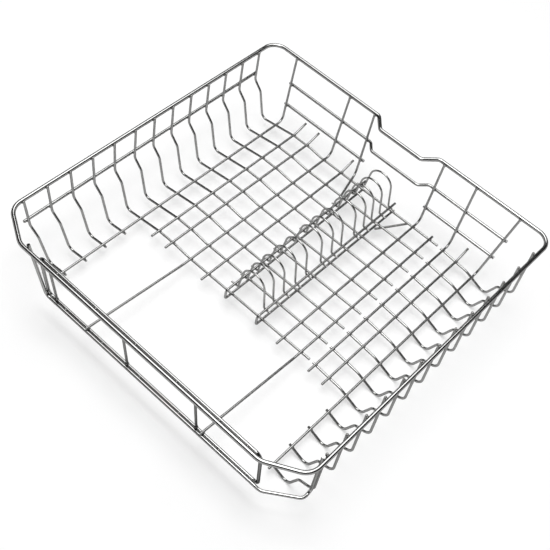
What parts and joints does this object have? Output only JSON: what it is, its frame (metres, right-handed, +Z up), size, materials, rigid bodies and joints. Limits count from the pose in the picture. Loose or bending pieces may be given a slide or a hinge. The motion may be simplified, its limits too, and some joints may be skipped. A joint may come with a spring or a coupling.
{
  "type": "dishwasher basket",
  "caption": "Rectangular wire basket for a dishwasher, with bent side wires, an open front window and a row of arches that hold plates upright.",
  "frame": {"origin": "under the middle of the rim, at the height of the lowest wire", "axes": "+X to the right wall, +Y to the back, +Z up"},
  "size_m": [0.526, 0.543, 0.1311],
  "materials": {
    "steel_wire": "bright drawn stainless steel wire"
  },
  "bodies": {
    "root": {"back_lower_rail_left": "steel_wire", "back_lower_rail_right": "steel_wire", "back_upper_rail": "steel_wire", "floor_wire_1": "steel_wire", "floor_wire_10": "steel_wire", "floor_wire_11": "steel_wire", "floor_wire_2": "steel_wire", "floor_wire_3": "steel_wire", "floor_wire_4": "steel_wire", "floor_wire_5": "steel_wire", "floor_wire_6": "steel_wire", "floor_wire_7": "steel_wire", "floor_wire_8": "steel_wire", "floor_wire_9": "steel_wire", "front_frame_wire": "steel_wire", "front_loop": "steel_wire", "front_upright_corner": "steel_wire", "front_upright_left": "steel_wire", "front_upright_right": "steel_wire", "left_mid_rail": "steel_wire", "left_side_wire_1": "steel_wire", "left_side_wire_10": "steel_wire", "left_side_wire_11": "steel_wire", "left_side_wire_12": "steel_wire", "left_side_wire_13": "steel_wire", "left_side_wire_2": "steel_wire", "left_side_wire_3": "steel_wire", "left_side_wire_4": "steel_wire", "left_side_wire_5": "steel_wire", "left_side_wire_6": "steel_wire", "left_side_wire_7": "steel_wire", "left_side_wire_8": "steel_wire", "left_side_wire_9": "steel_wire", "rack_arches": "steel_wire", "rack_hook": "steel_wire", "rack_rail_left": "steel_wire", "rack_rail_right": "steel_wire", "right_side_wire_1": "steel_wire", "right_side_wire_10": "steel_wire", "right_side_wire_11": "steel_wire", "right_side_wire_12": "steel_wire", "right_side_wire_13": "steel_wire", "right_side_wire_2": "steel_wire", "right_side_wire_3": "steel_wire", "right_side_wire_4": "steel_wire", "right_side_wire_5": "steel_wire", "right_side_wire_6": "steel_wire", "right_side_wire_7": "steel_wire", "right_side_wire_8": "steel_wire", "right_side_wire_9": "steel_wire", "rim_wire": "steel_wire"}
  },
  "joints": []
}
